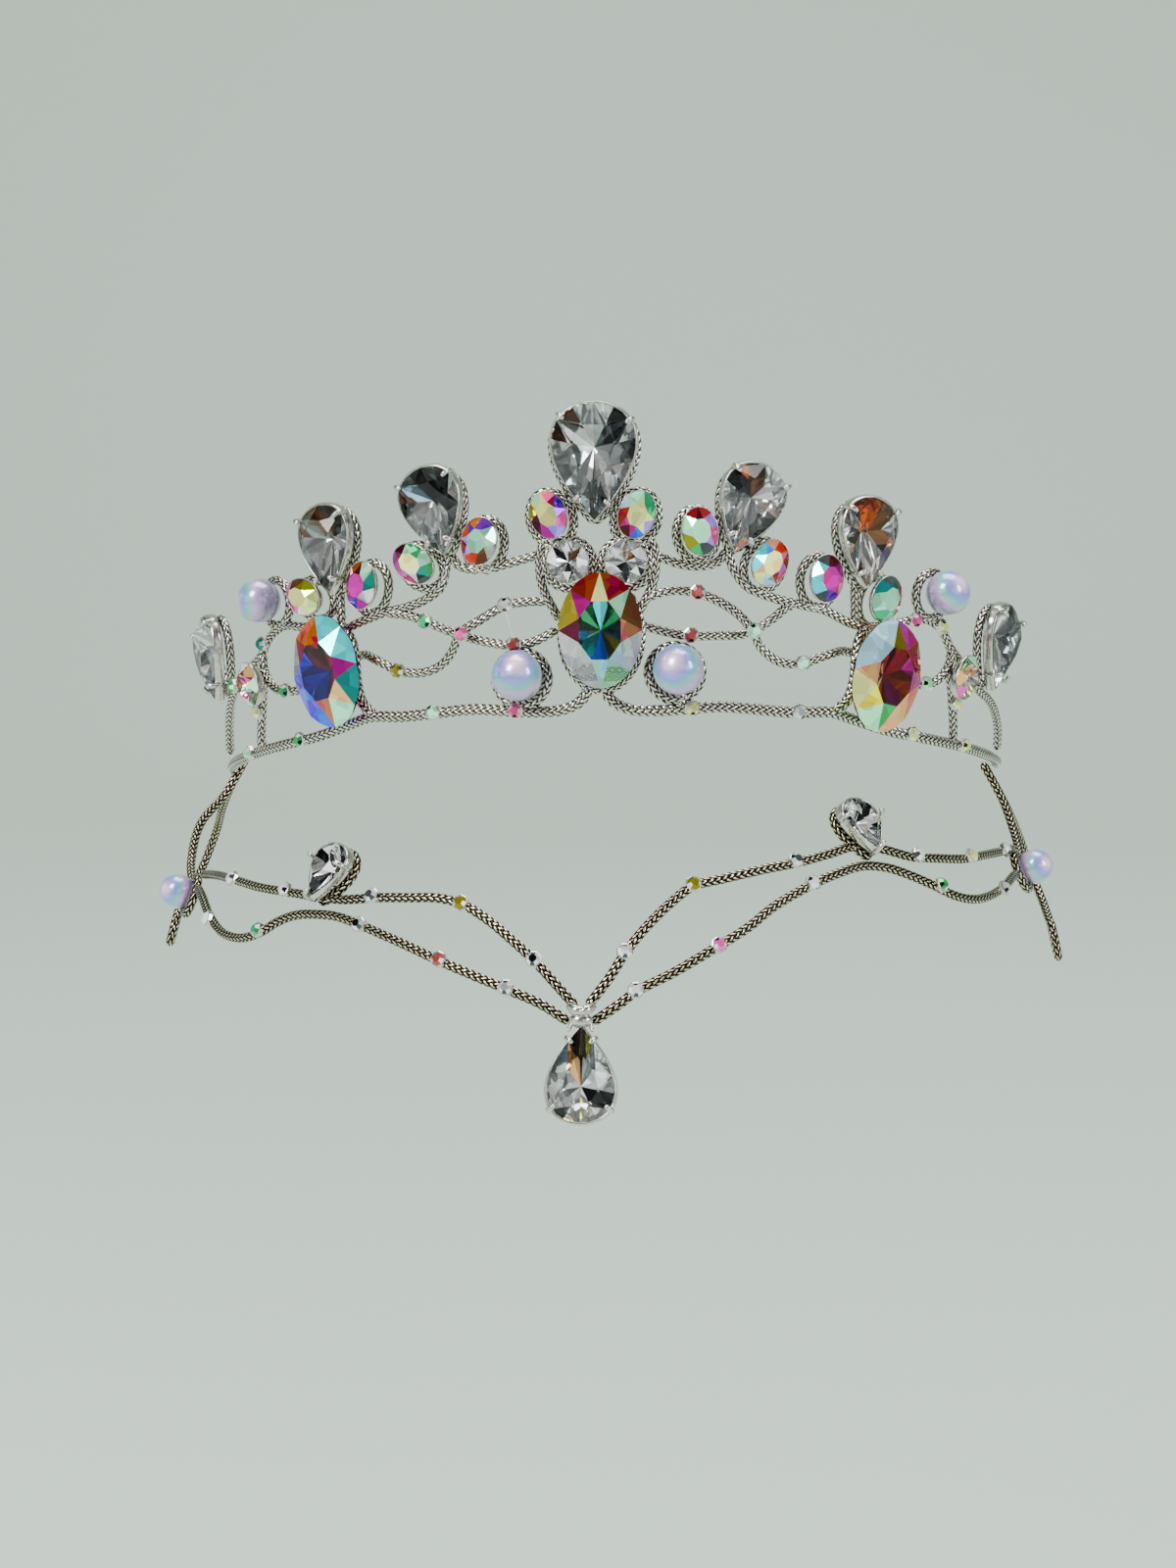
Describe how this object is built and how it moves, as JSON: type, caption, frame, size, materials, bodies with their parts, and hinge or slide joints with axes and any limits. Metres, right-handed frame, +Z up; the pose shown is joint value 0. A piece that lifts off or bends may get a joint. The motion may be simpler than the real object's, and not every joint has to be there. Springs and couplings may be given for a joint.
{
  "type": "ballet tiara",
  "caption": "Open lattice tiara of braided metallic cord over wire, set with foil-backed stones and pearls, with a V-shaped forehead frontlet and drop.",
  "frame": {"origin": "middle of the wearer's head at the level of the frontlet's V on the forehead", "axes": "+X the viewer's right from ear to ear, -Y the front, towards the forehead drop, +Z up"},
  "size_m": [0.1546, 0.1195, 0.1031],
  "materials": {
    "cord": "tubular braid of silver and champagne metallic thread over wire, satin",
    "setting": "silver-plated brass, bright",
    "clear_glass": "faceted clear glass with mirror foil on the back",
    "aurora_glass": "faceted glass with an iridescent coating and foil on the back",
    "pearl": "iridescent pearl lacquer, glossy"
  },
  "bodies": {
    "root": {"centre_oval": "aurora_glass", "side_oval_left": "aurora_glass", "side_oval_right": "aurora_glass", "centre_accent_left": "aurora_glass", "centre_accent_right": "aurora_glass", "inner_accent_front_left": "aurora_glass", "inner_accent_front_right": "aurora_glass", "inner_accent_back_left": "aurora_glass", "inner_accent_back_right": "aurora_glass", "outer_accent_front_left": "aurora_glass", "outer_accent_front_right": "aurora_glass", "outer_accent_back_left": "aurora_glass", "outer_accent_back_right": "aurora_glass", "end_accent_left": "aurora_glass", "end_accent_right": "aurora_glass", "centre_teardrop": "clear_glass", "inner_teardrop_left": "clear_glass", "inner_teardrop_right": "clear_glass", "outer_teardrop_left": "clear_glass", "outer_teardrop_right": "clear_glass", "end_teardrop_left": "clear_glass", "end_teardrop_right": "clear_glass", "round_crystal_left": "clear_glass", "round_crystal_right": "clear_glass", "brow_stone_left": "clear_glass", "brow_stone_right": "clear_glass", "forehead_drop": "clear_glass", "centre_teardrop_setting": "setting", "forehead_drop_setting": "setting", "forehead_binding": "setting", "inner_teardrop_left_setting": "setting", "inner_teardrop_right_setting": "setting", "outer_teardrop_left_setting": "setting", "outer_teardrop_right_setting": "setting", "end_teardrop_left_setting": "setting", "end_teardrop_right_setting": "setting", "brow_stone_left_setting": "setting", "brow_stone_right_setting": "setting", "rim_pearl_left": "pearl", "rim_pearl_right": "pearl", "crest_pearl_left": "pearl", "crest_pearl_right": "pearl", "temple_pearl_left": "pearl", "temple_pearl_right": "pearl", "centre_frame_cord": "cord", "crest_cord_left": "cord", "crest_cord_right": "cord", "rim_cord_left": "cord", "rim_cord_right": "cord", "upper_vine_left": "cord", "upper_vine_right": "cord", "lower_vine_left": "cord", "lower_vine_right": "cord", "temple_link_left": "cord", "temple_link_right": "cord", "frontlet_upper_left": "cord", "frontlet_upper_right": "cord", "frontlet_lower_left": "cord", "frontlet_lower_right": "cord"}
  },
  "joints": []
}
